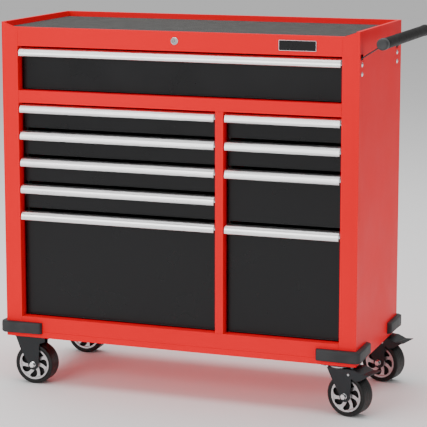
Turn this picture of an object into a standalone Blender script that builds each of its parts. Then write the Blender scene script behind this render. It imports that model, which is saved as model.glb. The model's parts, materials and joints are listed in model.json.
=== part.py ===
"""Rolling tool chest with ten drawers, a rubber-lined top, a side push handle and four casters.

The front faces -Y and +X is on the right, where the handle is. The origin is on the floor, under the
middle of the whole outline.
"""
import math

import bmesh
import bpy
from mathutils import Matrix, Vector

# Driving dimensions, in metres
CABINET_WIDTH = 1.067
CABINET_DEPTH = 0.458
CABINET_HEIGHT = 0.928
CASTER_HEIGHT = 0.146
SHEET = 0.0012
GAP = 0.0003

STILE_WIDTH = 0.0495
RETURN_DEPTH = 0.028
REAR_FLANGE = 0.015
LIP_WIDTH = 0.010
FRONT_LIP_DROP = 0.014
FRONT_LIP_WIDTH = 0.009
CORNER_SLOPE_START = 0.003
CORNER_SLOPE_END = 0.044
MAT_THICKNESS = 0.0027
MAT_STEP = 0.0015
TRAY_FLANGE = 0.010

TOP_OPENING_TOP = 0.859
CROSS_RAIL_TOP = 0.731
CROSS_RAIL_BOTTOM = 0.695
BOTTOM_RAIL_TOP = 0.0615
BASE_SEAM = 0.0178
DIVIDER_CENTRE = 0.6655
DIVIDER_WIDTH = 0.0243

ROW_PITCH = 0.07875
ROW_COUNT = 5
RIGHT_COLUMN_ROWS = (0, 1, 2, 4)
PULL_DROP = 0.0046
PULL_HEIGHT = 0.0255
PULL_PROUD = 0.0035
PULL_END_GAP = 0.004
PULL_SHEET = 0.0018
FRONT_SIDE_GAP = 0.004
FRONT_ROW_GAP = 0.008
FRONT_BOTTOM_GAP = 0.002
FRONT_FOLD = 0.014
BOX_CLEARANCE = 0.0132
BOX_DEPTH = 0.400
BOX_FLOOR_RISE = 0.004
BOX_TOP_DROP = 0.012
BOX_WALL = 0.001

RAIL_HEIGHT = 0.030
RAIL_START = 0.044
RAIL_LENGTH = 0.388
UPRIGHT_WIDTH = 0.020
UPRIGHT_PLACES = (0.060, 0.380)
RUNNER_HEIGHT = 0.018

BUMPER_THICKNESS = 0.014
BUMPER_LEG = 0.114
BUMPER_BOTTOM = 0.0125
BUMPER_TOP = 0.0455

BADGE_CENTRE = (0.8918, 0.8857)
BADGE_SIZE = (0.107, 0.029)
LOCK_HEIGHT = 0.8875

GRIP_OUT = 0.067
GRIP_HEIGHT = 0.898
GRIP_RADIUS = 0.0165
GRIP_OVERHANG = 0.025
BRACKET_PLACES = (0.023, 0.409)
BRACKET_WIDTH = 0.022
BRACKET_SHEET = 0.003
BRACKET_FOOT = 0.798
BRACKET_KNEE = 0.853

WHEEL_RADIUS = 0.060
WHEEL_WIDTH = 0.050
HUB_RADIUS = 0.0485
AXLE_RADIUS = 0.0048
AXLE_CLEARANCE = 0.0005
BOLT_HEAD = 0.011
WHEEL_INSET = 0.042
RIGID_CASTER_X = 0.077
RIGID_PLATE_OFFSET = 0.009
SWIVEL_PIVOT_X = 1.012
SWIVEL_TRAIL = 0.031
SWIVEL_HEADING = -15.0
PLATE_LENGTH = 0.096
PLATE_WIDTH = 0.068
FORK_SHEET = 0.003
FORK_GAP = 0.0025

# Places that follow from them
LEFT = -(CABINET_WIDTH + GRIP_OUT + GRIP_RADIUS - BUMPER_THICKNESS) / 2
RIGHT = LEFT + CABINET_WIDTH
FRONT = -CABINET_DEPTH / 2
BACK = CABINET_DEPTH / 2
BASE = CASTER_HEIGHT
TOP = BASE + CABINET_HEIGHT
FRONT_LIP_TOP = TOP - FRONT_LIP_DROP
MAT_TOP = FRONT_LIP_TOP - MAT_STEP
TRAY_FLOOR = MAT_TOP - MAT_THICKNESS - GAP
STILE_EDGE_LEFT = LEFT + STILE_WIDTH
STILE_EDGE_RIGHT = RIGHT - STILE_WIDTH
DIVIDER_LEFT = LEFT + DIVIDER_CENTRE - DIVIDER_WIDTH / 2
DIVIDER_RIGHT = LEFT + DIVIDER_CENTRE + DIVIDER_WIDTH / 2


def material(name, colour, roughness, metallic=0.0):
    finish = bpy.data.materials.new(name)
    finish.use_nodes = True
    shader = finish.node_tree.nodes["Principled BSDF"]
    shader.inputs["Base Color"].default_value = (*colour, 1.0)
    shader.inputs["Roughness"].default_value = roughness
    shader.inputs["Metallic"].default_value = metallic
    finish.diffuse_color = (*colour, 1.0)
    return finish


# Meshes

def add_object(name, bm, finish, origin=None):
    """Closes off a bmesh as a named object. The origin is the point that a moving piece turns or slides on."""
    bmesh.ops.recalc_face_normals(bm, faces=bm.faces)
    mesh = bpy.data.meshes.new(name)
    bm.to_mesh(mesh)
    bm.free()
    mesh.materials.append(finish)
    mesh.shade_smooth()
    mesh.set_sharp_from_angle(angle=math.radians(30))
    piece = bpy.data.objects.new(name, mesh)
    bpy.context.collection.objects.link(piece)
    if origin is not None:
        mesh.transform(Matrix.Translation(-Vector(origin)))
        piece.location = origin
    return piece


def guide(piece):
    """Marks a piece that only cuts or joins another one."""
    piece.hide_render = True
    piece.display_type = "WIRE"
    return piece


def combine(piece, other, operation):
    boolean = piece.modifiers.new(operation.lower(), "BOOLEAN")
    boolean.operation = operation
    boolean.solver = "EXACT"
    boolean.object = guide(other)


def add_prism(bm, outline, axis, low, high):
    """Extrudes a closed outline along X, Y or Z. Its pairs are the other two axes, in their order."""
    index = "xyz".index(axis)
    corners = []
    for pair in outline:
        point = list(pair)
        point.insert(index, low)
        corners.append(bm.verts.new(point))
    face = bm.faces.new(corners)
    extruded = bmesh.ops.extrude_face_region(bm, geom=[face])
    shift = Vector((0, 0, 0))
    shift[index] = high - low
    moved = [v for v in extruded["geom"] if isinstance(v, bmesh.types.BMVert)]
    bmesh.ops.translate(bm, verts=moved, vec=shift)


def prism(name, outline, axis, low, high, finish, origin=None):
    bm = bmesh.new()
    add_prism(bm, outline, axis, low, high)
    return add_object(name, bm, finish, origin)


def rectangle(u0, u1, v0, v1):
    return [(u0, v0), (u1, v0), (u1, v1), (u0, v1)]


def block(name, x0, x1, y0, y1, z0, z1, finish, origin=None):
    return prism(name, rectangle(x0, x1, y0, y1), "z", z0, z1, finish, origin)


def arc(centre, radii, start, end, count):
    """Points along part of an ellipse, with angles in degrees."""
    points = []
    for step in range(count + 1):
        angle = math.radians(start + (end - start) * step / count)
        points.append((centre[0] + radii[0] * math.cos(angle), centre[1] + radii[1] * math.sin(angle)))
    return points


def ribbon(path, thickness):
    """The closed outline of a folded sheet that follows a path, with mitred corners."""
    points = [Vector(p) for p in path]
    one_side, other_side = [], []
    for i, point in enumerate(points):
        into = (point - points[i - 1]).normalized() if i else None
        out = (points[i + 1] - point).normalized() if i + 1 < len(points) else None
        along = ((into or out) + (out or into)).normalized()
        across = Vector((-along.y, along.x))
        reach = thickness / 2 / max(abs(along.dot(into or out)), 0.2)
        one_side.append(tuple(point + across * reach))
        other_side.append(tuple(point - across * reach))
    return one_side + other_side[::-1]


def turned(name, profile, axis, centre, finish, segments=28, origin=None):
    """Spins a closed (radius, distance) profile round an axis through centre."""
    bm = bmesh.new()
    rings = []
    for radius, distance in profile:
        if radius == 0:
            rings.append([bm.verts.new((0, 0, distance))])
            continue
        ring = []
        for step in range(segments):
            angle = 2 * math.pi * step / segments
            ring.append(bm.verts.new((radius * math.cos(angle), radius * math.sin(angle), distance)))
        rings.append(ring)
    closed = profile[0][0] != 0
    for i in range(len(rings) if closed else len(rings) - 1):
        lower, upper = rings[i], rings[(i + 1) % len(rings)]
        for step in range(segments):
            following = (step + 1) % segments
            corners = [lower[step % len(lower)], lower[following % len(lower)],
                       upper[following % len(upper)], upper[step % len(upper)]]
            bm.faces.new(list(dict.fromkeys(corners)))
    if axis == "y":
        bm.transform(Matrix.Rotation(math.radians(90), 4, "X"))
    elif axis == "x":
        bm.transform(Matrix.Rotation(math.radians(90), 4, "Y"))
    bm.transform(Matrix.Translation(centre))
    return add_object(name, bm, finish, origin)


def open_tray(name, x0, x1, y0, y1, z0, z1, wall, finish, upside_down=False):
    """A thin-walled box open at the top, or at the bottom if upside_down."""
    bm = bmesh.new()
    add_prism(bm, rectangle(x0, x1, y0, y1), "z", z0, z1)
    bm.normal_update()
    bmesh.ops.recalc_face_normals(bm, faces=bm.faces)
    side = -1 if upside_down else 1
    mouth = max(bm.faces, key=lambda f: side * f.calc_center_median().z)
    bmesh.ops.inset_region(bm, faces=[mouth], thickness=wall, use_even_offset=True)
    depth = z1 - z0 - wall
    inner = bmesh.ops.extrude_face_region(bm, geom=[mouth])
    bmesh.ops.delete(bm, geom=[mouth], context="FACES_KEEP_BOUNDARY")
    moved = [v for v in inner["geom"] if isinstance(v, bmesh.types.BMVert)]
    bmesh.ops.translate(bm, verts=moved, vec=(0, 0, -side * depth))
    return add_object(name, bm, finish)


# Cabinet

def side_panel(name, edge, inward, finish):
    """One sheet folded into the front stile, its return, the side and the rear flange, under a folded lip."""
    def x(distance):
        return edge + inward * distance

    half = SHEET / 2
    fold = ribbon([
        (x(STILE_WIDTH - half), FRONT + RETURN_DEPTH),
        (x(STILE_WIDTH - half), FRONT + half),
        (x(half), FRONT + half),
        (x(half), BACK - half),
        (x(REAR_FLANGE), BACK - half),
    ], SHEET)
    panel = prism(name, fold, "z", BASE, TOP - half, finish)
    lip = ribbon([
        (x(half), TOP - LIP_WIDTH * 2),
        (x(half), TOP - half),
        (x(LIP_WIDTH - half), TOP - half),
        (x(LIP_WIDTH - half), TRAY_FLOOR + GAP),
    ], SHEET)
    combine(panel, prism(name + "_lip", lip, "y", FRONT + SHEET / 3, BACK - 0.0123, finish), "UNION")
    slope = [
        (x(CORNER_SLOPE_START), TOP),
        (x(CORNER_SLOPE_END), FRONT_LIP_TOP),
        (x(STILE_WIDTH + 0.002), FRONT_LIP_TOP),
        (x(STILE_WIDTH + 0.002), TOP + 0.010),
        (x(CORNER_SLOPE_START), TOP + 0.010),
    ]
    combine(panel, prism(name + "_slope", slope, "y", FRONT - 0.002, FRONT + SHEET * 1.1, finish), "DIFFERENCE")
    low, high = sorted((x(STILE_WIDTH - 0.004), x(STILE_WIDTH + 0.002)))
    for tag, bottom, top in (("top", TRAY_FLOOR - TRAY_FLANGE - 0.004, TOP + 0.010),
                             ("base", BASE - 0.010, BASE + BASE_SEAM + 0.001)):
        notch = block(f"{name}_{tag}_notch", low, high, FRONT + SHEET, FRONT + RETURN_DEPTH + 0.002,
                      bottom, top, finish)
        combine(panel, notch, "DIFFERENCE")
    return panel


def cabinet(red, black_rubber):
    side_panel("side_panel_left", LEFT, 1, red)
    right = side_panel("side_panel_right", RIGHT, -1, red)
    slots = bmesh.new()
    for place in BRACKET_PLACES:
        outline = rectangle(FRONT + place - BRACKET_WIDTH / 2 - 0.001, FRONT + place + BRACKET_WIDTH / 2 + 0.001,
                            BASE + BRACKET_KNEE - 0.003, BASE + BRACKET_KNEE + 0.012)
        add_prism(slots, outline, "x", RIGHT - 0.004, RIGHT + 0.004)
    combine(right, add_object("handle_slots", slots, red), "DIFFERENCE")

    back_middle = BACK - SHEET * 1.5 - GAP
    back = ribbon([
        (back_middle, BASE + 0.002),
        (back_middle, TOP - SHEET / 2),
        (BACK - 0.012 + SHEET / 2, TOP - SHEET / 2),
        (BACK - 0.012 + SHEET / 2, TRAY_FLOOR + GAP),
    ], SHEET)
    prism("back_panel", back, "x", LEFT + SHEET + GAP, RIGHT - SHEET - GAP, red)

    open_tray("top_tray", LEFT + SHEET + GAP, RIGHT - SHEET - GAP, FRONT + SHEET + GAP,
              BACK - 2 * SHEET - 3 * GAP, TRAY_FLOOR - TRAY_FLANGE, TRAY_FLOOR, SHEET, red, upside_down=True)
    block("top_mat", LEFT + LIP_WIDTH + GAP, RIGHT - LIP_WIDTH - GAP, FRONT + FRONT_LIP_WIDTH + GAP,
          BACK - 0.012 - GAP, TRAY_FLOOR + GAP, MAT_TOP, black_rubber)

    base = open_tray("base_pan", LEFT + SHEET + GAP, RIGHT - SHEET - GAP, FRONT + SHEET + GAP,
                     BACK - 2 * SHEET - 3 * GAP, BASE, BASE + BASE_SEAM - GAP, SHEET, red)
    combine(base, block("base_pan_front", STILE_EDGE_LEFT + GAP, STILE_EDGE_RIGHT - GAP, FRONT,
                        FRONT + SHEET + GAP * 2, BASE, BASE + BASE_SEAM - GAP, red), "UNION")


def front_frame(red):
    """The rails and the divider between the two stiles."""
    left, right = STILE_EDGE_LEFT + GAP, STILE_EDGE_RIGHT - GAP
    half = SHEET / 2
    rear = FRONT + RETURN_DEPTH
    top_rail = ribbon([
        (rear, BASE + TOP_OPENING_TOP + half),
        (FRONT + half, BASE + TOP_OPENING_TOP + half),
        (FRONT + half, FRONT_LIP_TOP - half),
        (FRONT + FRONT_LIP_WIDTH - half, FRONT_LIP_TOP - half),
    ], SHEET)
    rail = prism("front_top_rail", top_rail, "x", left, right, red)
    strip = block("front_lip_strip", LEFT + LIP_WIDTH + GAP, RIGHT - LIP_WIDTH - GAP, FRONT + SHEET + GAP,
                  FRONT + FRONT_LIP_WIDTH, TRAY_FLOOR + GAP, FRONT_LIP_TOP, red)
    combine(rail, strip, "UNION")
    lock_hole = turned("lock_hole", [(0, -0.01), (0.0083, -0.01), (0.0083, 0.01), (0, 0.01)], "y",
                       (LEFT + CABINET_WIDTH / 2, FRONT, BASE + LOCK_HEIGHT), red)
    combine(rail, lock_hole, "DIFFERENCE")

    cross_rail = ribbon([
        (rear, BASE + CROSS_RAIL_TOP - half),
        (FRONT + half, BASE + CROSS_RAIL_TOP - half),
        (FRONT + half, BASE + CROSS_RAIL_BOTTOM + half),
        (rear, BASE + CROSS_RAIL_BOTTOM + half),
    ], SHEET)
    prism("cross_rail", cross_rail, "x", left, right, red)

    bottom_rail = ribbon([
        (rear, BASE + BOTTOM_RAIL_TOP - 0.020),
        (rear, BASE + BOTTOM_RAIL_TOP - half),
        (FRONT + half, BASE + BOTTOM_RAIL_TOP - half),
        (FRONT + half, BASE + BASE_SEAM + half),
        (FRONT + 0.012, BASE + BASE_SEAM + half),
    ], SHEET)
    prism("bottom_rail", bottom_rail, "x", left, right, red)

    centre = LEFT + DIVIDER_CENTRE
    wide = DIVIDER_WIDTH / 2
    deep = BACK - 2 * SHEET - 4 * GAP
    section = [
        (centre - wide, FRONT), (centre + wide, FRONT), (centre + wide, rear),
        (centre + wide - SHEET, rear), (centre + wide - SHEET, FRONT + SHEET),
        (centre + half, FRONT + SHEET), (centre + half, deep), (centre - half, deep),
        (centre - half, FRONT + SHEET), (centre - wide + SHEET, FRONT + SHEET),
        (centre - wide + SHEET, rear), (centre - wide, rear),
    ]
    prism("center_divider", section, "z", BASE + BOTTOM_RAIL_TOP + GAP, BASE + CROSS_RAIL_BOTTOM - GAP, red)


def corner_bumpers(rubber):
    """L-shaped guards round the four bottom corners, with rounded edges."""
    for tag, edge, inward, face, backward in (
        ("fl", LEFT, 1, FRONT, 1), ("fr", RIGHT, -1, FRONT, 1),
        ("rl", LEFT, 1, BACK, -1), ("rr", RIGHT, -1, BACK, -1),
    ):
        def corner(across, along):
            return (edge + inward * across, face + backward * along)

        outline = [
            corner(-BUMPER_THICKNESS, -BUMPER_THICKNESS), corner(BUMPER_LEG, -BUMPER_THICKNESS),
            corner(BUMPER_LEG, -GAP), corner(-GAP, -GAP),
            corner(-GAP, BUMPER_LEG), corner(-BUMPER_THICKNESS, BUMPER_LEG),
        ]
        inside = Vector(corner(-GAP, -GAP))
        bm = bmesh.new()
        add_prism(bm, outline, "z", BASE + BUMPER_BOTTOM, BASE + BUMPER_TOP)
        outer = [e for e in bm.edges if all((v.co.xy - inside).length > 0.001 for v in e.verts)]
        bmesh.ops.bevel(bm, geom=outer, offset=0.005, offset_type="OFFSET", segments=2, profile=0.5,
                        affect="EDGES")
        add_object("corner_bumper_" + tag, bm, rubber)


def badge_and_lock(black, chrome):
    across, up = BADGE_CENTRE
    block("badge_plate", LEFT + across - BADGE_SIZE[0] / 2, LEFT + across + BADGE_SIZE[0] / 2,
          FRONT - 0.0018, FRONT - GAP, BASE + up - BADGE_SIZE[1] / 2, BASE + up + BADGE_SIZE[1] / 2, black)

    centre = (LEFT + CABINET_WIDTH / 2, FRONT, BASE + LOCK_HEIGHT)
    turned("lock_housing", [
        (0.0063, 0.0025), (0.0105, 0.0025), (0.0112, 0.0015), (0.0112, GAP), (0.0080, GAP),
        (0.0080, -0.018), (0.0063, -0.018),
    ], "y", centre, chrome)
    cylinder = turned("lock_cylinder", [
        (0, 0.0021), (0.0055, 0.0021), (0.0060, 0.0016), (0.0060, -0.021), (0, -0.021),
    ], "y", centre, chrome, origin=centre)
    cam = block("lock_cam", centre[0] - 0.005, centre[0] + 0.005, FRONT + 0.0185, FRONT + 0.0205,
                centre[2] - 0.018, centre[2] + 0.004, chrome)
    combine(cylinder, cam, "UNION")
    key_slot = block("key_slot", centre[0] - 0.0012, centre[0] + 0.0012, FRONT - 0.005, FRONT + 0.006,
                     centre[2] - 0.004, centre[2] + 0.004, chrome)
    combine(cylinder, key_slot, "DIFFERENCE")


def push_handle(black, rubber):
    """Two strap brackets that pass through slots in the right side, and the grip between them."""
    grip = (RIGHT + GRIP_OUT, BASE + GRIP_HEIGHT)
    knee = Vector((RIGHT - GAP * 2 - SHEET - BRACKET_SHEET / 2, BASE + BRACKET_KNEE))
    reach = Vector(grip) - knee
    end = knee + reach * (1 - (GRIP_RADIUS + GAP * 2) / reach.length)
    strap = ribbon([(knee.x, BASE + BRACKET_FOOT), tuple(knee), tuple(end)], BRACKET_SHEET)
    for tag, place in zip(("front", "rear"), BRACKET_PLACES):
        prism("handle_bracket_" + tag, strap, "y", FRONT + place - BRACKET_WIDTH / 2,
              FRONT + place + BRACKET_WIDTH / 2, black)
    length = CABINET_DEPTH + 2 * GRIP_OVERHANG
    dome = GRIP_RADIUS * 0.35
    turned("handle_grip", [
        (0, -length / 2), (GRIP_RADIUS * 0.75, -length / 2 + dome * 0.15), (GRIP_RADIUS, -length / 2 + dome),
        (GRIP_RADIUS, length / 2 - dome), (GRIP_RADIUS * 0.75, length / 2 - dome * 0.15), (0, length / 2),
    ], "y", (grip[0], 0, grip[1]), rubber, segments=24)


# Drawers and slides

def row_top(row):
    """The top of the drawers in a row of the two columns, above the floor."""
    return BASE + CROSS_RAIL_BOTTOM - PULL_DROP - ROW_PITCH * row


def drawer_table():
    """Each drawer's name, the sides of its opening and its front's bottom and top."""
    lowest = BASE + BOTTOM_RAIL_TOP + FRONT_BOTTOM_GAP
    drawers = [("drawer_top", STILE_EDGE_LEFT, STILE_EDGE_RIGHT, BASE + CROSS_RAIL_TOP + FRONT_BOTTOM_GAP,
                BASE + TOP_OPENING_TOP - PULL_DROP)]
    columns = (("l", STILE_EDGE_LEFT, DIVIDER_LEFT, tuple(range(ROW_COUNT))),
               ("r", DIVIDER_RIGHT, STILE_EDGE_RIGHT, RIGHT_COLUMN_ROWS))
    for tag, left, right, rows in columns:
        for number, row in enumerate(rows, 1):
            last = number == len(rows)
            low = lowest if last else row_top(rows[number]) + FRONT_ROW_GAP
            drawers.append((f"drawer_{tag}{number}", left, right, low, row_top(row)))
    return drawers


def rail_middle(low, high):
    """The height of a drawer's slides: the middle of a shallow drawer, and low on a deep one."""
    return low + min((high - low) / 2, 0.075)


def pull_outline(top):
    """The section of a drawer pull: back plate, top web and a curved lip that drops in front."""
    back = FRONT + RETURN_DEPTH - GAP - PULL_SHEET / 2
    half = PULL_SHEET / 2
    front = FRONT - PULL_PROUD + half
    swell = 0.0155
    lip = arc((front + swell, top - 0.018), (swell, 0.018 - half), 90, 180, 6)
    path = [(back, top - 0.022), (back, top - half)] + lip
    path += [(front, top - PULL_HEIGHT + 0.003), (front + 0.0025, top - PULL_HEIGHT + half)]
    return ribbon(path, PULL_SHEET)


def drawer(name, left, right, low, high, black, steel, aluminium):
    """A folded front, a steel box, two runners and an aluminium pull. The box slides out along -Y."""
    start = FRONT + RETURN_DEPTH
    home = ((left + right) / 2, start, (low + high) / 2)
    near, far = left + FRONT_SIDE_GAP + SHEET / 2, right - FRONT_SIDE_GAP - SHEET / 2
    fold = ribbon([(near, start + FRONT_FOLD), (near, start + SHEET / 2), (far, start + SHEET / 2),
                   (far, start + FRONT_FOLD)], SHEET)
    front = prism(name, fold, "z", low, high, black)
    box_left, box_right = left + BOX_CLEARANCE, right - BOX_CLEARANCE
    box = open_tray(name + "_box", box_left, box_right, start + SHEET * 0.6, start + BOX_DEPTH,
                    low + BOX_FLOOR_RISE, high - BOX_TOP_DROP, BOX_WALL, steel)
    middle = rail_middle(low, high)
    runners = bmesh.new()
    for side, wall in ((-1, box_left), (1, box_right)):
        inner, outer = wall - side * BOX_WALL * 0.5, wall + side * 0.0087
        outline = rectangle(min(inner, outer), max(inner, outer), middle - RUNNER_HEIGHT / 2,
                            middle + RUNNER_HEIGHT / 2)
        add_prism(runners, outline, "y", start + FRONT_FOLD + 0.004, start + BOX_DEPTH + 0.002)
    combine(front, box, "UNION")
    combine(front, add_object(name + "_runners", runners, steel), "UNION")
    front.data.transform(Matrix.Translation(-Vector(home)))
    front.location = home
    pull = prism(name + "_pull", pull_outline(high), "x", left + PULL_END_GAP, right - PULL_END_GAP,
                 aluminium, home)
    pull.parent = front
    pull.location = (0, 0, 0)


def slide_rack(name, edge, inward, middles, top, steel):
    """Two uprights and the fixed rails of one side of a column, which the drawer runners slide in."""
    def x(distance):
        return edge + inward * distance

    half = SHEET / 2
    tall = RAIL_HEIGHT / 2 - half
    uprights = bmesh.new()
    low, high = sorted((x(-0.005), x(0.0012)))
    for place in UPRIGHT_PLACES:
        add_prism(uprights, rectangle(low, high, FRONT + place, FRONT + place + UPRIGHT_WIDTH), "z",
                  BASE + SHEET + GAP, top)
    rails = bmesh.new()
    for middle in middles:
        outline = ribbon([(x(0.0077), middle + tall), (x(0.0008 + half), middle + tall),
                          (x(0.0008 + half), middle - tall), (x(0.0077), middle - tall)], SHEET)
        add_prism(rails, outline, "y", FRONT + RAIL_START, FRONT + RAIL_START + RAIL_LENGTH)
    rack = add_object(name, uprights, steel)
    combine(rack, add_object(name + "_rails", rails, steel), "UNION")


def storage(black, steel, aluminium):
    drawers = drawer_table()
    for name, left, right, low, high in drawers:
        drawer(name, left, right, low, high, black, steel, aluminium)
    heights = {name: rail_middle(low, high) for name, left, right, low, high in drawers}
    left_column = [heights[n] for n in heights if n.startswith("drawer_l")]
    right_column = [heights[n] for n in heights if n.startswith("drawer_r")]
    upper = [heights["drawer_top"]]
    tall, short = BASE + TOP_OPENING_TOP - 0.040, BASE + CROSS_RAIL_BOTTOM - 0.010
    slide_rack("slide_rack_left", STILE_EDGE_LEFT, 1, left_column + upper, tall, steel)
    slide_rack("slide_rack_center_left", DIVIDER_LEFT, -1, left_column, short, steel)
    slide_rack("slide_rack_center_right", DIVIDER_RIGHT, 1, right_column, short, steel)
    slide_rack("slide_rack_right", STILE_EDGE_RIGHT, -1, right_column + upper, tall, steel)


# Casters

def leg_outline(top, axle_x, axle_z, left, right):
    """A fork leg that leans back from a round eye at the axle. Its top runs from left to right of the axle."""
    eye = 0.017
    return [(axle_x + left, top), (axle_x + left * 0.74, axle_z + 0.046), (axle_x - eye, axle_z + 0.004)] + arc(
        (axle_x, axle_z), (eye, eye), 185, 355, 10) + [
        (axle_x + 0.019, axle_z + 0.030), (axle_x + 0.021, axle_z + 0.064), (axle_x + right, axle_z + 0.070),
        (axle_x + right, top)]


def add_fork(name, crown, legs, y, axle_x, finish, origin=None):
    """Joins two legs to a crown plate and bores the axle hole."""
    axle_z = WHEEL_RADIUS
    inner = WHEEL_WIDTH / 2 + FORK_GAP
    cheeks = bmesh.new()
    add_prism(cheeks, legs, "y", y - inner - FORK_SHEET, y - inner)
    add_prism(cheeks, legs, "y", y + inner, y + inner + FORK_SHEET)
    fork = crown
    combine(fork, add_object(name + "_legs", cheeks, finish), "UNION")
    bore = AXLE_RADIUS + AXLE_CLEARANCE
    hole = turned(name + "_bore", [(0, -0.05), (bore, -0.05), (bore, 0.05), (0, 0.05)], "y",
                  (axle_x, y, axle_z), finish, segments=20)
    combine(fork, hole, "DIFFERENCE")
    if origin is not None:
        fork.data.transform(Matrix.Translation(-Vector(origin)))
        fork.location = origin
    return fork


def wheel(tag, x, y, tyre, parent=None):
    """A moulded tyre and hub, and the bolt it turns on."""
    wide, shoulder = WHEEL_WIDTH / 2, 0.006
    hub_face = wide - 0.002
    bore = AXLE_RADIUS + AXLE_CLEARANCE
    half = [(bore, hub_face), (HUB_RADIUS - 0.001, hub_face), (HUB_RADIUS, wide - 0.0005), (HUB_RADIUS + 0.002, wide)]
    half += arc((WHEEL_RADIUS - shoulder, wide - shoulder), (shoulder, shoulder), 75, 10, 3)
    profile = half + [(radius, -distance) for radius, distance in reversed(half)]
    centre = (x, y, WHEEL_RADIUS)
    turned("wheel_" + tag, profile, "y", centre, tyre, segments=36, origin=centre)


def axle_bolt(tag, x, y, chrome):
    reach = WHEEL_WIDTH / 2 + FORK_GAP + FORK_SHEET + GAP
    head = AXLE_RADIUS + 0.0037
    turned("axle_bolt_" + tag, [
        (0, reach + BOLT_HEAD), (head * 0.8, reach + BOLT_HEAD - 0.0006), (head, reach + BOLT_HEAD - 0.002),
        (head, reach), (AXLE_RADIUS, reach), (AXLE_RADIUS, -reach), (head, -reach),
        (head, -reach - BOLT_HEAD), (0, -reach - BOLT_HEAD),
    ], "y", (x, y, WHEEL_RADIUS), chrome, segments=20)


def rigid_caster(tag, y, black, tyre, chrome):
    x = LEFT + RIGID_CASTER_X
    top = BASE - GAP
    middle = x - RIGID_PLATE_OFFSET
    plate = block("rigid_fork_" + tag, middle - PLATE_LENGTH / 2, middle + PLATE_LENGTH / 2,
                  y - PLATE_WIDTH / 2, y + PLATE_WIDTH / 2, top - FORK_SHEET, top, black)
    legs = leg_outline(top - FORK_SHEET / 2, x, WHEEL_RADIUS, -0.056, 0.038)
    add_fork("rigid_fork_" + tag, plate, legs, y, x, black)
    wheel(tag, x, y, tyre)
    axle_bolt(tag, x, y, chrome)


def swivel_caster(tag, y, black, tyre, chrome):
    """The plate and kingpin stay put. The fork turns round the kingpin with its wheel, bolt and brake pedal."""
    pivot = LEFT + SWIVEL_PIVOT_X
    x = pivot + SWIVEL_TRAIL
    top = BASE - GAP
    plate = block("swivel_plate_" + tag, pivot - PLATE_LENGTH / 2, pivot + PLATE_LENGTH / 2, y - PLATE_WIDTH / 2,
                  y + PLATE_WIDTH / 2, top - FORK_SHEET, top, black)
    kingpin = turned("kingpin_" + tag, [
        (0, BASE - 0.0015), (0.028, BASE - 0.0015), (0.028, BASE - 0.0092), (0.005, BASE - 0.0092),
        (0.005, BASE - 0.0132), (0.009, BASE - 0.0132), (0.009, BASE - 0.017), (0, BASE - 0.017),
    ], "z", (pivot, y, 0), black)
    combine(plate, kingpin, "UNION")

    fixed = set(bpy.data.objects)
    crown_top = BASE - 0.0096
    half = WHEEL_WIDTH / 2 + FORK_GAP + FORK_SHEET
    corner = 0.012
    outline = arc((pivot - 0.017, y + half - corner), (corner, corner), 90, 180, 5)
    outline += arc((pivot - 0.017, y - half + corner), (corner, corner), 180, 270, 5)
    outline += [(pivot + 0.036, y - half), (pivot + 0.036, y + half)]
    crown = prism("swivel_fork_" + tag, outline, "z", crown_top - FORK_SHEET, crown_top, black)
    legs = leg_outline(crown_top - FORK_SHEET / 2, x, WHEEL_RADIUS, -0.058, 0.0215)
    add_fork("swivel_fork_" + tag, crown, legs, y, x, black)
    hole = turned("kingpin_hole_" + tag, [(0, -0.03), (0.0055, -0.03), (0.0055, 0.03), (0, 0.03)], "z",
                  (pivot, y, crown_top), black)
    combine(crown, hole, "DIFFERENCE")
    wheel(tag, x, y, tyre)
    axle_bolt(tag, x, y, chrome)
    brake_pedal(tag, pivot, y, black)
    bpy.context.view_layer.update()
    about = Matrix.Translation((pivot, y, 0))
    heading = about @ Matrix.Rotation(math.radians(SWIVEL_HEADING), 4, "Z") @ about.inverted()
    for piece in set(bpy.data.objects) - fixed:
        piece.matrix_world = heading @ piece.matrix_world


def brake_pedal(tag, pivot, y, black):
    """A pressed pedal that straddles the fork and turns on a cross pin, with a shoe over the tyre."""
    pin = (pivot + 0.044, y, BASE - 0.022)
    edge = WHEEL_WIDTH / 2 + FORK_GAP + FORK_SHEET + 0.0027
    path = [(pivot + 0.034, BASE - 0.0076), (pivot + 0.063, BASE - 0.0082), (pivot + 0.088, BASE - 0.0170),
            (pivot + 0.112, BASE - 0.0145)]
    pedal = prism("brake_pedal_" + tag, ribbon(path, 0.002), "y", y - edge, y + edge, black)
    cheek = [(pivot + 0.036, BASE - 0.0082), (pivot + 0.063, BASE - 0.0088), (pivot + 0.088, BASE - 0.0176),
             (pivot + 0.110, BASE - 0.0154), (pivot + 0.106, BASE - 0.0190), (pivot + 0.080, BASE - 0.0350),
             (pivot + 0.068, BASE - 0.0380), (pivot + 0.048, BASE - 0.0300), (pivot + 0.036, BASE - 0.0240)]
    cheeks = bmesh.new()
    add_prism(cheeks, cheek, "y", y - edge + 0.0001, y - edge + 0.0021)
    add_prism(cheeks, cheek, "y", y + edge - 0.0021, y + edge - 0.0001)
    combine(pedal, add_object("pedal_cheeks_" + tag, cheeks, black), "UNION")
    shoe = [(pivot + 0.056, BASE - 0.0080), (pivot + 0.056, BASE - 0.0245), (pivot + 0.072, BASE - 0.0355),
            (pivot + 0.072, BASE - 0.0114)]
    combine(pedal, prism("pedal_shoe_" + tag, shoe, "y", y - 0.015, y + 0.015, black), "UNION")
    pedal.data.transform(Matrix.Translation(-Vector(pin)))
    pedal.location = pin


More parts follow.
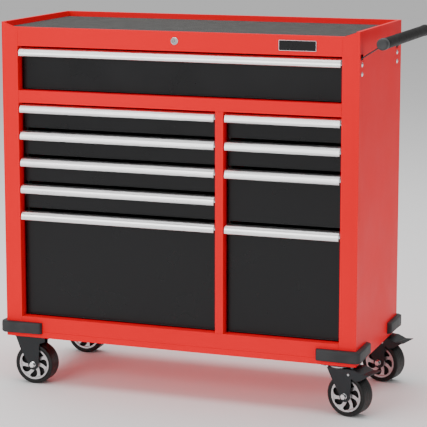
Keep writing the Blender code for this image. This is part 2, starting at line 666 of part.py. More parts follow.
def build():
    for piece in list(bpy.data.objects):
        bpy.data.objects.remove(piece, do_unlink=True)

    red = material("red_powder_coat", (0.78, 0.035, 0.04), 0.32)
    front_black = material("black_gloss_paint", (0.02, 0.02, 0.022), 0.25)
    steel = material("zinc_plated_steel", (0.55, 0.56, 0.58), 0.35, 1.0)
    aluminium = material("satin_aluminium", (0.83, 0.84, 0.85), 0.3, 1.0)
    rubber = material("dark_grey_rubber", (0.045, 0.048, 0.048), 0.75)
    mat = material("ribbed_rubber_mat", (0.11, 0.11, 0.105), 0.8)
    fork_black = material("black_pressed_steel", (0.018, 0.02, 0.022), 0.4)
    tyre = material("black_tyre", (0.015, 0.015, 0.015), 0.6)
    chrome = material("chrome", (0.75, 0.75, 0.76), 0.12, 1.0)

    cabinet(red, mat)
    front_frame(red)
    corner_bumpers(rubber)
    badge_and_lock(front_black, chrome)
    push_handle(fork_black, rubber)
    storage(front_black, steel, aluminium)
    for tag, y in (("f", FRONT + WHEEL_INSET), ("r", BACK - WHEEL_INSET)):
        rigid_caster(tag + "l", y, fork_black, tyre, chrome)
        swivel_caster(tag + "r", y, fork_black, tyre, chrome)


build()
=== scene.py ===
"""The rolling tool chest's visual model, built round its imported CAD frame."""
import json
import math

import bmesh
import bpy
from mathutils import Matrix, Vector


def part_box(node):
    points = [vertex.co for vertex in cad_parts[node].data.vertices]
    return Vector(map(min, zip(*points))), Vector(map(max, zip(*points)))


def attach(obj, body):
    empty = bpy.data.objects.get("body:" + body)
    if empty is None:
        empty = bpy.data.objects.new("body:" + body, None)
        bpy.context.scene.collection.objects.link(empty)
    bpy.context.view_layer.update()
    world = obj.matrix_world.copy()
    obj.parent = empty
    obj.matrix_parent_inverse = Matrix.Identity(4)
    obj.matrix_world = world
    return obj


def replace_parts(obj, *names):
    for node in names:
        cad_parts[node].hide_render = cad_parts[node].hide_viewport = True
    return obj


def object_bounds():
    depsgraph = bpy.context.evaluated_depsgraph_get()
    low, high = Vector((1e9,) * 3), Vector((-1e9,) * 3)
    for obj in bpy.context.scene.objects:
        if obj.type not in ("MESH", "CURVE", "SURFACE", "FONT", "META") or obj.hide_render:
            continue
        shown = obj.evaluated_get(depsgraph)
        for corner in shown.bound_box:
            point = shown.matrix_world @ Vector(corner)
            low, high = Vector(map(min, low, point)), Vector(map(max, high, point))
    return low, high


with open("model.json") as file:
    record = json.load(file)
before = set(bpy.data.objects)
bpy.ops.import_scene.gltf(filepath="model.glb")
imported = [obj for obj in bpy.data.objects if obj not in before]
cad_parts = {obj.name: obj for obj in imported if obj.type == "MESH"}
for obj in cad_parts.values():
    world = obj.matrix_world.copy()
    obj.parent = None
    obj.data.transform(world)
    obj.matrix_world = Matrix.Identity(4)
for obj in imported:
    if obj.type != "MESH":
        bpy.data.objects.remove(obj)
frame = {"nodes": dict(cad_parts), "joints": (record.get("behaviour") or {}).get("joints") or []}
cad_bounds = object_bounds()

CABINET = "cabinet"
LEFT, FRONT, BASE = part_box("side_panel_left")[0]
RIGHT, BACK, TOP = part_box("side_panel_right")[1]
CENTRE_X = (LEFT + RIGHT) / 2
DRAWERS = sorted(n for n in frame["nodes"] if n.startswith("drawer_") and not n.endswith("_pull"))
CASTERS = ("fl", "fr", "rl", "rr")
ROLLED = {"fl": 0, "fr": -8, "rl": 9, "rr": 7}  # degrees each hub is turned on its axle
HUB_SLOTS = 7
BRACKET_SCREW_HEIGHTS = (0.8115, 0.8375)  # above the cabinet's base
JOINTS = {joint["name"]: joint for joint in frame["joints"]}


# Materials

class Nodes:
    """Short calls for building one material's node tree."""

    def __init__(self, name):
        self.material = bpy.data.materials.new(name)
        self.material.use_nodes = True
        self.tree = self.material.node_tree
        self.shader = self.tree.nodes["Principled BSDF"]
        self.place = self.add("ShaderNodeTexCoord").outputs["Object"]

    def add(self, kind, **values):
        node = self.tree.nodes.new(kind)
        for key, value in values.items():
            setattr(node, key, value)
        return node

    def link(self, source, target):
        self.tree.links.new(source, target)

    def noise(self, scale, detail=3.0, stretch=(1, 1, 1)):
        mapping = self.add("ShaderNodeMapping")
        mapping.inputs["Scale"].default_value = stretch
        self.link(self.place, mapping.inputs["Vector"])
        noise = self.add("ShaderNodeTexNoise")
        noise.inputs["Scale"].default_value = scale
        noise.inputs["Detail"].default_value = detail
        self.link(mapping.outputs["Vector"], noise.inputs["Vector"])
        return noise.outputs["Fac"]

    def cells(self, scale):
        cells = self.add("ShaderNodeTexVoronoi")
        cells.inputs["Scale"].default_value = scale
        self.link(self.place, cells.inputs["Vector"])
        return cells.outputs["Color"]

    def colour(self, factor, dark, light, low=0.35, high=0.65):
        ramp = self.add("ShaderNodeValToRGB")
        ramp.color_ramp.elements[0].position = low
        ramp.color_ramp.elements[1].position = high
        ramp.color_ramp.elements[0].color = (*dark, 1)
        ramp.color_ramp.elements[1].color = (*light, 1)
        self.link(factor, ramp.inputs["Fac"])
        self.link(ramp.outputs["Color"], self.shader.inputs["Base Color"])

    def roughness(self, factor, low, high):
        spread = self.add("ShaderNodeMapRange")
        spread.inputs["From Min"].default_value = 0.3
        spread.inputs["From Max"].default_value = 0.7
        spread.inputs["To Min"].default_value = low
        spread.inputs["To Max"].default_value = high
        self.link(factor, spread.inputs["Value"])
        self.link(spread.outputs["Result"], self.shader.inputs["Roughness"])

    def bump(self, height, distance, strength=1.0):
        bump = self.add("ShaderNodeBump")
        bump.inputs["Distance"].default_value = distance
        bump.inputs["Strength"].default_value = strength
        self.link(height, bump.inputs["Height"])
        self.link(bump.outputs["Normal"], self.shader.inputs["Normal"])

    def sockets(self, **values):
        for key, value in values.items():
            self.shader.inputs[key.replace("_", " ")].default_value = value
        return self.material


def paint(name, dark, light, rough, coat, peel=0.00005, sheen=0.5):
    """Powder coat or enamel: a faint mottle, a slightly uneven gloss and orange peel."""
    n = Nodes(name)
    n.colour(n.noise(2.2, 2), dark, light)
    n.roughness(n.noise(9, 3), *rough)
    n.bump(n.noise(420, 2), peel)
    return n.sockets(Coat_Weight=coat, Coat_Roughness=0.12, Specular_IOR_Level=sheen)


def moulded(name, dark, light, rough, grain, depth, sheen=0.35):
    """Rubber or plastic with a fine moulded grain and a little dust in the colour."""
    n = Nodes(name)
    n.colour(n.noise(30, 6), dark, light)
    n.roughness(n.noise(60, 4), *rough)
    n.bump(n.noise(grain, 3), depth)
    return n.sockets(Specular_IOR_Level=sheen)


def metal(name, dark, light, rough, scale=40, stretch=(1, 1, 1), depth=0.00002):
    """Bare or plated metal, brushed along the axis that its stretch is smallest on."""
    n = Nodes(name)
    streaks = n.noise(scale, 6, stretch)
    n.colour(streaks, dark, light)
    n.roughness(streaks, *rough)
    n.bump(streaks, depth)
    return n.sockets(Metallic=1.0)


def spangled(name):
    """Zinc plate with its faint crystal pattern."""
    n = Nodes(name)
    n.colour(n.cells(160), (0.42, 0.43, 0.45), (0.62, 0.63, 0.64), 0.1, 0.9)
    n.roughness(n.noise(50, 5), 0.28, 0.45)
    n.bump(n.noise(300, 3), 0.00003)
    return n.sockets(Metallic=1.0)


RED = paint("red_powder_coat", (0.92, 0.0022, 0.012), (0.96, 0.0032, 0.016),
            rough=(0.34, 0.42), coat=0.0, sheen=0.04)
BLACK = paint("black_enamel", (0.0036, 0.0036, 0.0044), (0.0048, 0.0048, 0.0058),
              rough=(0.26, 0.32), coat=0.02, sheen=0.26)
STEEL_BLACK = paint("black_pressed_steel", (0.006, 0.008, 0.010), (0.010, 0.012, 0.015),
                    rough=(0.38, 0.48), coat=0.05, sheen=0.35)
ALUMINIUM = metal("brushed_aluminium", (0.86, 0.86, 0.87), (0.95, 0.95, 0.95),
                  rough=(0.26, 0.38), scale=500, stretch=(0.02, 1, 1))
CHROME = metal("chrome", (0.74, 0.74, 0.75), (0.86, 0.86, 0.87), rough=(0.07, 0.16), scale=80)
SILVER = metal("silver_hub", (0.52, 0.50, 0.51), (0.68, 0.66, 0.67), rough=(0.30, 0.42), scale=300)
ZINC = spangled("zinc_plate")
GUARD = moulded("bumper_rubber", (0.022, 0.023, 0.025), (0.034, 0.035, 0.037),
                rough=(0.48, 0.60), grain=900, depth=0.00008)
MAT = moulded("mat_rubber", (0.036, 0.035, 0.033), (0.052, 0.050, 0.048),
              rough=(0.62, 0.76), grain=1200, depth=0.00006)
LINER = moulded("liner_foam", (0.012, 0.012, 0.013), (0.022, 0.022, 0.023),
                rough=(0.72, 0.86), grain=1500, depth=0.00008)
TYRE = moulded("tyre_rubber", (0.0040, 0.0040, 0.0040), (0.0075, 0.0075, 0.0070),
               rough=(0.36, 0.52), grain=700, depth=0.00006)
GRIP = moulded("grip_rubber", (0.0015, 0.0015, 0.0015), (0.0030, 0.0030, 0.0030),
               rough=(0.44, 0.54), grain=1400, depth=0.00005, sheen=0.10)
CAP = moulded("cap_plastic", (0.036, 0.038, 0.040), (0.052, 0.054, 0.056),
              rough=(0.42, 0.55), grain=900, depth=0.00004)
# Painted shade: a near-black for the shade inside the hub, on the slot walls and on the core behind the
# slots.
HUB_SHADE = moulded("hub_painted_shade", (0.003, 0.003, 0.003), (0.005, 0.005, 0.005),
                 rough=(0.60, 0.70), grain=500, depth=0.00004)


# Meshes

def mesh_of(name, bm, material, angle=32):
    bmesh.ops.recalc_face_normals(bm, faces=bm.faces)
    mesh = bpy.data.meshes.new(name)
    bm.to_mesh(mesh)
    bm.free()
    mesh.materials.append(material)
    mesh.shade_smooth()
    mesh.set_sharp_from_angle(angle=math.radians(angle))
    return mesh


def place(name, mesh, body, at=(0, 0, 0), turn=None, bevel=0.0):
    """Puts a mesh in the scene as a piece that rides on a body."""
    piece = bpy.data.objects.new(name, mesh)
    bpy.context.collection.objects.link(piece)
    matrix = Matrix.Translation(at)
    piece.matrix_world = matrix @ turn if turn else matrix
    if bevel:
        soften(piece, bevel)
    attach(piece, body)
    return piece


def soften(piece, width, segments=2):
    """Rounds a piece's sharp edges, as a press brake or a mould leaves them."""
    weld = piece.modifiers.new("weld", "WELD")
    weld.merge_threshold = 0.00002
    bevel = piece.modifiers.new("bevel", "BEVEL")
    bevel.width = width
    bevel.segments = segments
    bevel.limit_method = "ANGLE"
    bevel.angle_limit = math.radians(40)
    bevel.harden_normals = True


def prism(bm, outline, axis, low, high):
    """Extrudes a closed outline along X, Y or Z. Its pairs are the other two axes, in order."""
    index = "xyz".index(axis)
    ends = []
    for distance in (low, high):
        ring = []
        for pair in outline:
            point = list(pair)
            point.insert(index, distance)
            ring.append(bm.verts.new(point))
        ends.append(ring)
    first, last = ends
    for i in range(len(outline)):
        j = (i + 1) % len(outline)
        bm.faces.new((first[i], first[j], last[j], last[i]))
    bm.faces.new(first[::-1])
    bm.faces.new(last)


def lathe(bm, profile, segments=40, axis="y", centre=(0, 0, 0)):
    """Spins a (radius, distance) profile, which is a closed ring unless it starts on the axis.

    Distances run along +X or +Z, but along -Y for the axis "y".
    """
    spin = {"y": Matrix.Rotation(math.radians(90), 4, "X"), "z": Matrix.Identity(4),
            "x": Matrix.Rotation(math.radians(90), 4, "Y")}[axis]
    move = Matrix.Translation(centre) @ spin
    rings = []
    for radius, distance in profile:
        steps = segments if radius else 1
        ring = []
        for s in range(steps):
            angle = 2 * math.pi * s / segments
            point = Vector((radius * math.cos(angle), radius * math.sin(angle), distance))
            ring.append(bm.verts.new(move @ point))
        rings.append(ring)
    count = len(rings) if profile[0][0] else len(rings) - 1
    for i in range(count):
        lower, upper = rings[i], rings[(i + 1) % len(rings)]
        for s in range(segments):
            t = (s + 1) % segments
            corners = [lower[s % len(lower)], lower[t % len(lower)]]
            corners += [upper[t % len(upper)], upper[s % len(upper)]]
            bm.faces.new(list(dict.fromkeys(corners)))


def turned(name, profile, material, segments=40, axis="y"):
    bm = bmesh.new()
    lathe(bm, profile, segments, axis)
    return mesh_of(name, bm, material)


def arc(centre, radius, start, end, count):
    points = []
    for step in range(count + 1):
        angle = math.radians(start + (end - start) * step / count)
        points.append((centre[0] + radius * math.cos(angle), centre[1] + radius * math.sin(angle)))
    return points


def rounded(u0, u1, v0, v1, radius, count=4):
    """A rectangle with round corners."""
    points = []
    for u, v, start in ((u1, v1, 0), (u0, v1, 90), (u0, v0, 180), (u1, v0, 270)):
        centre = (u - radius if u == u1 else u + radius, v - radius if v == v1 else v + radius)
        points += arc(centre, radius, start, start + 90, count)
    return points


def cut(mesh, cutter):
    """The mesh with another one taken away. The new faces take the cutter's material."""
    body = bpy.data.objects.new("body", mesh)
    tool = bpy.data.objects.new("tool", cutter)
    for each in (body, tool):
        bpy.context.collection.objects.link(each)
    boolean = body.modifiers.new("cut", "BOOLEAN")
    boolean.solver = "EXACT"
    boolean.material_mode = "TRANSFER"
    boolean.object = tool
    result = body.evaluated_get(bpy.context.evaluated_depsgraph_get())
    shape = bpy.data.meshes.new_from_object(result)
    shape.name = mesh.name
    for each in (body, tool):
        bpy.data.objects.remove(each)
    shape.shade_smooth()
    shape.set_sharp_from_angle(angle=math.radians(32))
    return shape


def ribbed_sheet(name, x0, x1, y0, y1, z0, z1, pitch, material):
    """A sheet with rounded ribs along X on its top."""
    bm = bmesh.new()
    count = max(2, round((y1 - y0) / pitch))
    step = (y1 - y0) / count
    crest = min(0.4 * step, (z1 - z0) * 0.6)
    rib = ((0.0, 0.0), (0.12, 0.05), (0.25, 0.75), (0.38, 1.0), (0.62, 1.0), (0.75, 0.75), (0.88, 0.05))
    points = [(y0 + (i + u) * step, z1 - crest * (1 - v)) for i in range(count) for u, v in rib]
    points.append((y1, z1 - crest))
    rows = []
    for y, top in points:
        rows.append([bm.verts.new((x, y, z)) for x, z in ((x0, z0), (x0, top), (x1, top), (x1, z0))])
    for a, b in zip(rows, rows[1:]):
        for i in range(4):
            j = (i + 1) % 4
            bm.faces.new((a[i], a[j], b[j], b[i]))
    bm.faces.new(rows[0])
    bm.faces.new(rows[-1][::-1])
    return mesh_of(name, bm, material, 50)


# Cabinet

def dress_cad():
    """Gives the CAD nodes that stay their finish and soft edges."""
    finishes = (
        (RED, 0.0005, ("side_panel_", "back_panel", "top_tray", "front_top_rail", "cross_rail",
                       "center_divider", "bottom_rail", "base_pan")),
        (ZINC, 0.0, ("slide_rack_",)),
        (STEEL_BLACK, 0.0007, ("handle_bracket_", "rigid_fork_", "swivel_fork_", "swivel_plate_",
                               "brake_pedal_")),
        (CHROME, 0.0002, ("lock_housing", "lock_cylinder")),
        (BLACK, 0.0004, tuple(DRAWERS)),
    )
    for name, node in frame["nodes"].items():
        if name.endswith("_pull"):
            finish, width = ALUMINIUM, 0.0004
        else:
            found = [(m, w) for m, w, starts in finishes if name.startswith(starts)]
            if not found:
                continue
            finish, width = found[0]
        for holder in node.material_slots:
            holder.material = finish
        if width:
            soften(node, width)


def top_mat():
    low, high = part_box("top_mat")
    pitch = 0.0044
    sheet = ribbed_sheet("ribbed_top_mat", low.x, high.x, low.y, high.y, low.z, high.z, pitch, MAT)
    mat = place("ribbed_top_mat", sheet, CABINET)
    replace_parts(mat, "top_mat")


def corner_guards():
    """Moulded L-shaped guards with round ends and well rounded rims on their outer sides."""
    for tag in CASTERS:
        low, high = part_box("corner_bumper_" + tag)
        across = 1 if tag[1] == "l" else -1
        along = 1 if tag[0] == "f" else -1
        corner = (low.x if across > 0 else high.x, low.y if along > 0 else high.y)
        leg, thick, turn, end = high.x - low.x, 0.014, 0.011, 0.006
        inside = thick - 0.0003
        outline = arc((turn, turn), turn, 180, 270, 5)
        outline += arc((leg - end, end), end, 270, 360, 4) + [(leg, inside), (inside, inside)]
        outline += [(inside, leg)] + arc((end, leg - end), end, 90, 180, 4)
        outline = [(corner[0] + across * u, corner[1] + along * v) for u, v in outline]
        bm = bmesh.new()
        prism(bm, outline, "z", low.z, high.z)
        inner = Vector((corner[0] + across * thick, corner[1] + along * thick))

        def outside(vert):
            off = Vector((across * (inner.x - vert.co.x), along * (inner.y - vert.co.y)))
            return max(off.x, off.y) > 0.0012

        level = [e for e in bm.edges if e.verts[0].co.z == e.verts[1].co.z]
        rims = [e for e in level if all(map(outside, e.verts))]
        bmesh.ops.bevel(bm, geom=rims, offset=0.0055, offset_type="OFFSET", segments=4, profile=0.5,
                        affect="EDGES")
        name = "corner_guard_" + tag
        guard = place(name, mesh_of(name, bm, GUARD, 60), CABINET)
        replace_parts(guard, "corner_bumper_" + tag)


def name_plate():
    """A blank plate with a dark face and a bright rim."""
    low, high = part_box("badge_plate")
    bm = bmesh.new()
    prism(bm, rounded(low.x, high.x, low.z, high.z, 0.002), "y", low.y + 0.0004, high.y)
    plate = place("name_plate", mesh_of("name_plate", bm, BLACK), CABINET, bevel=0.0003)
    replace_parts(plate, "badge_plate")
    bm = bmesh.new()
    rim = 0.0011
    inner = rounded(low.x + rim, high.x - rim, low.z + rim, high.z - rim, 0.0012)
    outer = rounded(low.x, high.x, low.z, high.z, 0.002)
    ends = []
    for y in (low.y, low.y + 0.0006):
        ends.append([[bm.verts.new((x, y, z)) for x, z in ring] for ring in (outer, inner)])
    for i in range(len(outer)):
        j = (i + 1) % len(outer)
        (fo, fi), (bo, bi) = ends
        for a, b in ((fo, fi), (fi, bi), (bi, bo), (bo, fo)):
            bm.faces.new((a[i], a[j], b[j], b[i]))
    place("name_plate_rim", mesh_of("name_plate_rim", bm, SILVER), CABINET)


def push_handle():
    """The grooved grip with its end caps, its sockets, and the domed screws of the brackets."""
    low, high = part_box("handle_grip")
    centre = (low + high) / 2
    radius, half, cap = (high.x - low.x) / 2, (high.y - low.y) / 2, 0.021
    grip_radius, depth = radius - 0.0010, 0.0006
    end = half - cap
    profile = [(0, -end - 0.002), (grip_radius - depth, -end - 0.002), (grip_radius, -end + 0.001)]
    grooves = [-end + 0.004 + 0.004 * i for i in range(3)] + [end - 0.012 + 0.004 * i for i in range(3)]
    for at in grooves:
        profile += [(grip_radius, at - 0.0007), (grip_radius - depth, at), (grip_radius, at + 0.0007)]
    profile += [(grip_radius, end - 0.001), (grip_radius - depth, end + 0.002), (0, end + 0.002)]
    sleeve = turned("handle_grip_sleeve", profile, GRIP, 48)
    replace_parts(place("handle_grip_sleeve", sleeve, CABINET, centre), "handle_grip")
    edge = 0.006
    shell = [(0, 0), (radius * 0.55, 0.0003)] + arc((radius - edge, edge), edge, 270, 360, 5)
    shell += [(radius, cap - 0.001), (radius - 0.001, cap), (0, cap)]
    end_cap = turned("handle_end_cap", shell, CAP, 48)
    flip = Matrix.Rotation(math.radians(180), 4, "Z")
    place("handle_cap_rear", end_cap, CABINET, (centre.x, high.y, centre.z))
    place("handle_cap_front", end_cap, CABINET, (centre.x, low.y, centre.z), flip)

    dome = [(0, 0.0012), (0.0014, 0.0012), (0.0019, 0.0033), (0.0036, 0.0027), (0.0052, 0.0016)]
    dome += [(0.0058, 0.0008), (0.0070, 0.0006), (0.0070, 0.0), (0, 0.0)]
    screw = turned("dome_screw", dome, CHROME, 28, "x")
    for tag in ("front", "rear"):
        low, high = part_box("handle_bracket_" + tag)
        middle = (low.y + high.y) / 2
        for number, height in enumerate(BRACKET_SCREW_HEIGHTS):
            place(f"bracket_screw_{tag}_{number}", screw, CABINET, (RIGHT, middle, BASE + height))
        bm = bmesh.new()
        socket = rounded(middle - 0.0135, middle + 0.0135, centre.z - 0.0150, centre.z - 0.004, 0.004)
        prism(bm, socket, "x", centre.x - 0.0150, centre.x - 0.0030)
        place("grip_socket_" + tag, mesh_of("grip_socket_" + tag, bm, CAP), CABINET, bevel=0.0015)


def spot_welds():
    """Faint marks where the rails and the divider are welded to the frame, and rivets on the back."""
    mark = [(0, 0.00002), (0.0018, 0.00005), (0.0026, 0.00025), (0.0032, 0.00005), (0.0034, -0.0002)]
    dimple = turned("weld_mark", mark + [(0, -0.0002)], RED, 20)
    cross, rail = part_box("cross_rail"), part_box("bottom_rail")
    middle = (cross[0].z + cross[1].z) / 2
    post = (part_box("drawer_r1")[0].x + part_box("drawer_l1")[1].x) / 2
    ends, heights = (cross[0].x + 0.010, cross[1].x - 0.010), (middle - 0.009, middle + 0.009)
    spots = [(x, z) for x in ends for z in heights]
    spots += [(post + dx, middle - 0.008) for dx in (-0.007, 0.007)]
    spots += [(post + dx, (rail[0].z + rail[1].z) / 2 + 0.010) for dx in (-0.007, 0.007)]
    for number, (x, z) in enumerate(spots):
        place(f"weld_mark_{number}", dimple, CABINET, (x, FRONT, z))
    head = [(0, 0.0012), (0.0016, 0.0011), (0.0030, 0.0006), (0.0034, 0.0), (0.0034, -0.0004), (0, -0.0004)]
    rivet = turned("back_rivet", head, ZINC, 20)
    flip = Matrix.Rotation(math.radians(180), 4, "Z")
    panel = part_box("back_panel")
    columns = (panel[0].x + 0.026, panel[1].x - 0.026)
    rivets, margin = 7, 0.06
    for side, x in enumerate(columns):
        for number in range(rivets):
            height = BASE + margin + number * (TOP - BASE - 2 * margin) / (rivets - 1)
            place(f"back_rivet_{side}_{number}", rivet, CABINET, (x, BACK - 0.0015, height), flip)


def pressed_beads():
    """Long shallow beads that stiffen the back panel and the base pan."""
    def bead(name, half_length, half_width, rise):
        """A low dome with round ends, lying in XZ and rising along Y."""
        bm = bmesh.new()
        rows = []
        for level in (0.0, 0.35, 0.7, 0.9, 1.0):
            inset = half_width * (1 - math.sqrt(1 - level ** 2)) if level < 1 else half_width * 0.75
            length, width = half_length - inset, half_width - inset
            ring = rounded(-length, length, -width, width, max(width, 0.0005), 5)
            rows.append([bm.verts.new((u, rise * level, v)) for u, v in ring])
        for a, b in zip(rows, rows[1:]):
            for i in range(len(a)):
                j = (i + 1) % len(a)
                bm.faces.new((a[i], a[j], b[j], b[i]))
        bm.faces.new(rows[0][::-1])
        bm.faces.new(rows[-1])
        return mesh_of(name, bm, RED, 60)

    upright = Matrix.Rotation(math.radians(90), 4, "Y")
    tall = bead("back_bead", 0.36, 0.011, 0.0012)
    middle = (BASE + TOP) / 2
    for number, x in enumerate((-0.34, 0.0, 0.34)):
        place(f"back_bead_{number}", tall, CABINET, (CENTRE_X + x, BACK - 0.0016, middle), upright)
    down = Matrix.Rotation(math.radians(-90), 4, "X")
    long = bead("base_bead", 0.36, 0.012, 0.0035)
    for number, y in enumerate((-0.030, 0.030)):
        place(f"base_bead_{number}", long, CABINET, (CENTRE_X, y, BASE + 0.0001), down)


# Drawers

def drawer_details(node):
    """A ribbed liner, the rolled hem of the front, and the moving slide members with their rivets."""
    body = node + "_body"
    low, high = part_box(node)
    inset, thickness, pitch = 0.0104, 0.0022, 0.0060
    floor = low.z + 0.0052
    liner = ribbed_sheet(node + "_liner", low.x + inset, high.x - inset, low.y + 0.003, high.y - 0.004,
                         floor, floor + thickness, pitch, LINER)
    place(node + "_liner", liner, body)

    bm = bmesh.new()
    hem = [(low.y + 0.0002, low.z + 0.0002)] + arc((low.y, low.z + 0.0016), 0.0013, 250, 90, 6)
    hem += [(low.y + 0.0002, low.z + 0.0032)]
    prism(bm, hem, "x", low.x + 0.0004, high.x - 0.0004)
    place(node + "_hem", mesh_of(node + "_hem", bm, BLACK, 50), body)

    middle = low.z + min((high.z - low.z) / 2, 0.075)
    bm = bmesh.new()
    for side, wall in ((-1, low.x + 0.0092), (1, high.x - 0.0092)):
        outer = wall + side * 0.0087
        face = outer + side * 0.0002
        for up in (-1, 1):
            ridge = arc((face, middle + up * 0.0062), 0.0016, 0, 360, 8)[:-1]
            prism(bm, [(x, z) for x, z in ridge], "y", low.y + 0.020, low.y + 0.398)
        for place_y in (0.06, 0.20, 0.34):
            rivet = [(0, -0.0008), (0.0026, -0.0008), (0.0026, 0.0005), (0.0012, 0.0010), (0, 0.0010)]
            lathe(bm, [(r, side * d) for r, d in rivet], 14, "x", (face, low.y + place_y, middle))
    place(node + "_slide_members", mesh_of(node + "_slide_members", bm, ZINC, 40), body)


# Casters

def teardrop(inner, outer, width, swirl, count=14):
    """A slot that widens outwards and leans round the hub."""
    left, right = [], []
    for step in range(count + 1):
        t = step / count
        radius = inner + (outer - inner) * t
        closing = max(0.0, (t - 0.55) / 0.45)
        half = width * (0.10 + 0.90 * t ** 0.9) * math.sqrt(max(0.0, 1 - closing ** 2.6))
        angle = swirl * (t ** 1.3 - 0.4)
        bend = half / radius
        left.append((radius * math.cos(angle + bend), radius * math.sin(angle + bend)))
        right.append((radius * math.cos(angle - bend), radius * math.sin(angle - bend)))
    return left + right[::-1][1:-1]


def wheel_meshes(radius, width):
    """The tyre, the slotted hub with painted shade on its slot walls, and the dark core behind its slots,
    which paints the shade inside the hub.
    """
    half = width / 2
    rim = radius - 0.0118
    side = [(rim - 0.0030, half - 0.0035), (rim - 0.0010, half - 0.0024), (rim, half - 0.0006)]
    side += [(rim + 0.0010, half), (rim + 0.0028, half), (rim + 0.0033, half - 0.0007)]
    side += [(rim + 0.0040, half - 0.0007), (rim + 0.0045, half)]
    shoulder = 0.0045
    side += arc((radius - shoulder, half - shoulder), shoulder, 80, 10, 5)
    tread = []
    for groove in (0.0125, 0.0045):
        tread += [(radius, groove + 0.0008), (radius - 0.0008, groove + 0.0004),
                  (radius - 0.0008, groove - 0.0004), (radius, groove - 0.0008)]
    one = side + tread
    tyre = turned("tyre", one + [(r, -d) for r, d in reversed(one)], TYRE, 72)

    boss = 0.0145
    face = [(boss, half - 0.0010), (0.0160, half - 0.0040), (0.0300, half - 0.0052), (0.0400, half - 0.0036)]
    face += [(0.0420, half - 0.0014), (0.0466, half - 0.0008), (0.0478, half - 0.0022)]
    back = [(0.0472, half - 0.0100), (0.0400, half - 0.0100), (0.0300, half - 0.0105), (boss, half - 0.0110)]
    hub = turned("hub", face + back, SILVER, 72)
    slots = bmesh.new()
    for number in range(HUB_SLOTS):
        turn = Matrix.Rotation(2 * math.pi * number / HUB_SLOTS - math.pi / 2, 2)
        outline = [tuple(turn @ Vector(p)) for p in teardrop(0.0160, 0.0425, 0.0138, -0.34)]
        prism(slots, outline, "y", -half - 0.004, -half + 0.016)
    # The slot walls take the painted-shade near-black, though the hub is silver right through.
    hub = cut(hub, mesh_of("slots", slots, HUB_SHADE))
    # The core's small bearing boss is real; its wide dark disc behind the slots is painted shade.
    bearing = [(0.0056, half - 0.0002), (0.0090, half - 0.0002), (0.0095, half - 0.0008)]
    bearing += [(0.0120, half - 0.0008), (0.0146, half - 0.0020), (0.0146, half - 0.0120)]
    bearing.append((rim - 0.0020, half - 0.0120))
    core = turned("hub_shade_core", bearing + [(r, -d) for r, d in reversed(bearing)], HUB_SHADE, 48)
    return tyre, hub, core


def hex_head(bm, size, low, high, centre, sense, axis="y"):
    """A chamfered hexagon on a washer face, facing sense along its axis."""
    across = size / math.cos(math.radians(30))
    rings = ((across, low), (across, high - 0.0008), (size * 0.93, high))
    spin = {"y": Matrix.Rotation(math.radians(90), 4, "X"), "z": Matrix.Identity(4)}[axis]
    move = Matrix.Translation(centre) @ spin
    rows = []
    for radius, distance in rings:
        row = []
        for i in range(6):
            angle = math.radians(60 * i)
            point = Vector((radius * math.cos(angle), radius * math.sin(angle), sense * distance))
            row.append(bm.verts.new(move @ point))
        rows.append(row)
    for a, b in zip(rows, rows[1:]):
        for i in range(6):
            j = (i + 1) % 6
            bm.faces.new((a[i], a[j], b[j], b[i]))
    bm.faces.new(rows[0][::-1])
    bm.faces.new(rows[-1])


def axle(tag, body, centre, turn):
    """A bolt with a washer and a hexagon at both ends, as long as the front left one, which lies along Y."""
    low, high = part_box("axle_bolt_fl")
    reach = (high.y - low.y) / 2
    seat = reach - 0.0110
    bm = bmesh.new()
    for sense in (-1, 1):
        washer = [(0, seat), (0.0082, seat), (0.0085, seat + 0.0003)]
        washer += [(0.0085, seat + 0.0012), (0, seat + 0.0012)]
        lathe(bm, [(r, sense * d) for r, d in washer], 28)
        hex_head(bm, 0.0070, seat + 0.0011, reach - 0.0002, (0, 0, 0), sense)
    lathe(bm, [(0, -seat), (0.0047, -seat), (0.0047, seat), (0, seat)], 24)
    bolt = place("axle_" + tag, mesh_of("axle_" + tag, bm, CHROME, 25), body, centre, turn)
    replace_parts(bolt, "axle_bolt_" + tag)


def plate_bolts(tag, plate):
    """Four bolts that hold a caster's plate to the cabinet."""
    low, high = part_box(plate)
    middle = (low + high) / 2
    bm = bmesh.new()
    for x in (low.x + 0.0085, high.x - 0.0085):
        for y in (middle.y - 0.0235, middle.y + 0.0235):
            under = high.z - 0.003
            washer = [(0, under), (0.0060, under), (0.0060, under - 0.0009), (0, under - 0.0009)]
            lathe(bm, washer, 20, "z", (x, y, 0))
            hex_head(bm, 0.0045, 0.0008, 0.0042, (x, y, under), -1, "z")
    place("plate_bolts_" + tag, mesh_of("plate_bolts_" + tag, bm, ZINC, 25), CABINET)


def casters():
    """The four wheels, each turned to its axle, with the bolts and fittings of their casters."""
    low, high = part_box("wheel_fl")
    tyre, hub, core = wheel_meshes((high.z - low.z) / 2 + 0.0001, high.y - low.y)
    flip = Matrix.Rotation(math.radians(180), 4, "Z")
    for tag in CASTERS:
        low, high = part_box("wheel_" + tag)
        centre = (low + high) / 2
        along = JOINTS["wheel_spin_" + tag]["axis"]
        heading = Matrix.Rotation(math.atan2(-along[0], along[1]), 4, "Z")
        body = "wheel_body_" + tag
        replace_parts(place("tyre_" + tag, tyre, body, centre, heading), "wheel_" + tag)
        rolled = Matrix.Rotation(math.radians(ROLLED[tag]), 4, "Y")
        place("hub_front_" + tag, hub, body, centre, heading @ rolled)
        place("hub_rear_" + tag, hub, body, centre, heading @ flip @ rolled)
        # The dark core stands for the painted shade inside the hub.
        place("hub_shade_core_" + tag, core, body, centre, heading)
        swivels = tag[1] == "r"
        axle(tag, "swivel_" + tag if swivels else CABINET, centre, heading)
        plate_bolts(tag, ("swivel_plate_" if swivels else "rigid_fork_") + tag)
        if swivels:
            swivel_details(tag, heading)


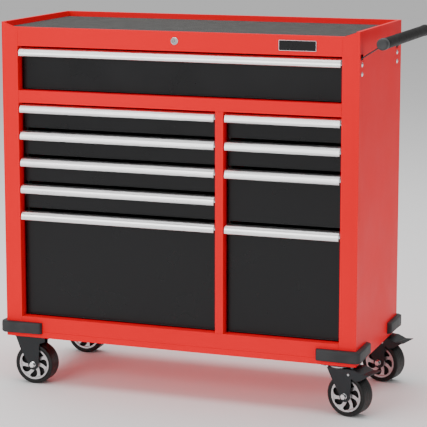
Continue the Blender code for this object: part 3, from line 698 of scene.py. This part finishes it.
def swivel_details(tag, heading):
    """The dust ring round the ball race, the pedal's pin and the ribs on its toe."""
    low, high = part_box("swivel_plate_" + tag)
    pivot = (low + high) / 2
    race = [(0.0288, -0.0097), (0.0310, -0.0097), (0.0314, -0.0090), (0.0312, -0.0060), (0.0300, -0.0048)]
    ring = turned("race_" + tag, race + [(0.0288, -0.0048)], ZINC, 48, "z")
    place("race_ring_" + tag, ring, "swivel_" + tag, (pivot.x, pivot.y, BASE))
    hinge = Vector(JOINTS["brake_press_" + tag]["pos_m"])
    end = [(0, -0.0348), (0.0030, -0.0348), (0.0036, -0.0342), (0.0036, -0.0332)]
    pin = turned("pedal_pin_" + tag, end + [(r, -d) for r, d in reversed(end)], ZINC, 20)
    place("pedal_pin_" + tag, pin, "pedal_" + tag, hinge, heading)
    bm = bmesh.new()
    for number in range(3):
        middle = (0.0640 - 0.0055 * number, 0.0079 - 0.0006 * number)
        prism(bm, arc(middle, 0.0011, 0, 360, 8)[:-1], "y", -0.026, 0.026)
    ribs = mesh_of("pedal_ribs_" + tag, bm, STEEL_BLACK, 50)
    place("pedal_ribs_" + tag, ribs, "pedal_" + tag, hinge, heading)


# Studio

def studio():
    """A pale floor, three soft lights in a white world, and the camera."""
    world = bpy.data.worlds.new("studio")
    world.use_nodes = True
    world.node_tree.nodes["Background"].inputs["Color"].default_value = (1, 1, 1, 1)
    world.node_tree.nodes["Background"].inputs["Strength"].default_value = 0.55
    bpy.context.scene.world = world

    bm = bmesh.new()
    bmesh.ops.create_grid(bm, x_segments=1, y_segments=1, size=14)
    n = Nodes("floor")
    n.sockets(Base_Color=(0.98, 0.98, 0.98, 1), Roughness=0.8, Specular_IOR_Level=0.2)
    floor = bpy.data.objects.new("floor", mesh_of("floor", bm, n.material))
    floor.location.z = cad_bounds[0][2] - 0.0002
    bpy.context.collection.objects.link(floor)

    for name, at, aim, size, energy in (
        ("key", (-1.6, -4.4, 2.2), (-0.1, 0, 0.5), (3.0, 2.4), 95),
        ("side", (3.4, -0.4, 0.6), (0.4, 0, 0.3), (1.2, 1.2), 6),
        ("top", (-0.6, 0.4, 4.4), (-0.6, 0.4, 0), (5.0, 5.0), 210),
    ):
        light = bpy.data.lights.new(name, "AREA")
        light.shape = "RECTANGLE"
        light.size, light.size_y = size
        light.energy = energy
        lamp = bpy.data.objects.new(name, light)
        lamp.location = at
        lamp.rotation_euler = (Vector(aim) - Vector(at)).to_track_quat("-Z", "Y").to_euler()
        bpy.context.collection.objects.link(lamp)

    camera = bpy.data.cameras.new("camera")
    camera.sensor_width = 36
    camera.lens = 150.35
    camera.shift_y = -0.1007
    eye = bpy.data.objects.new("camera", camera)
    eye.location = (1.7499, -4.8536, 1.4748)
    eye.rotation_euler = (math.radians(80.76), 0, math.radians(19.845))
    bpy.context.collection.objects.link(eye)
    bpy.context.scene.camera = eye


dress_cad()
top_mat()
corner_guards()
name_plate()
push_handle()
spot_welds()
pressed_beads()
for drawer_node in DRAWERS:
    drawer_details(drawer_node)
casters()
studio()
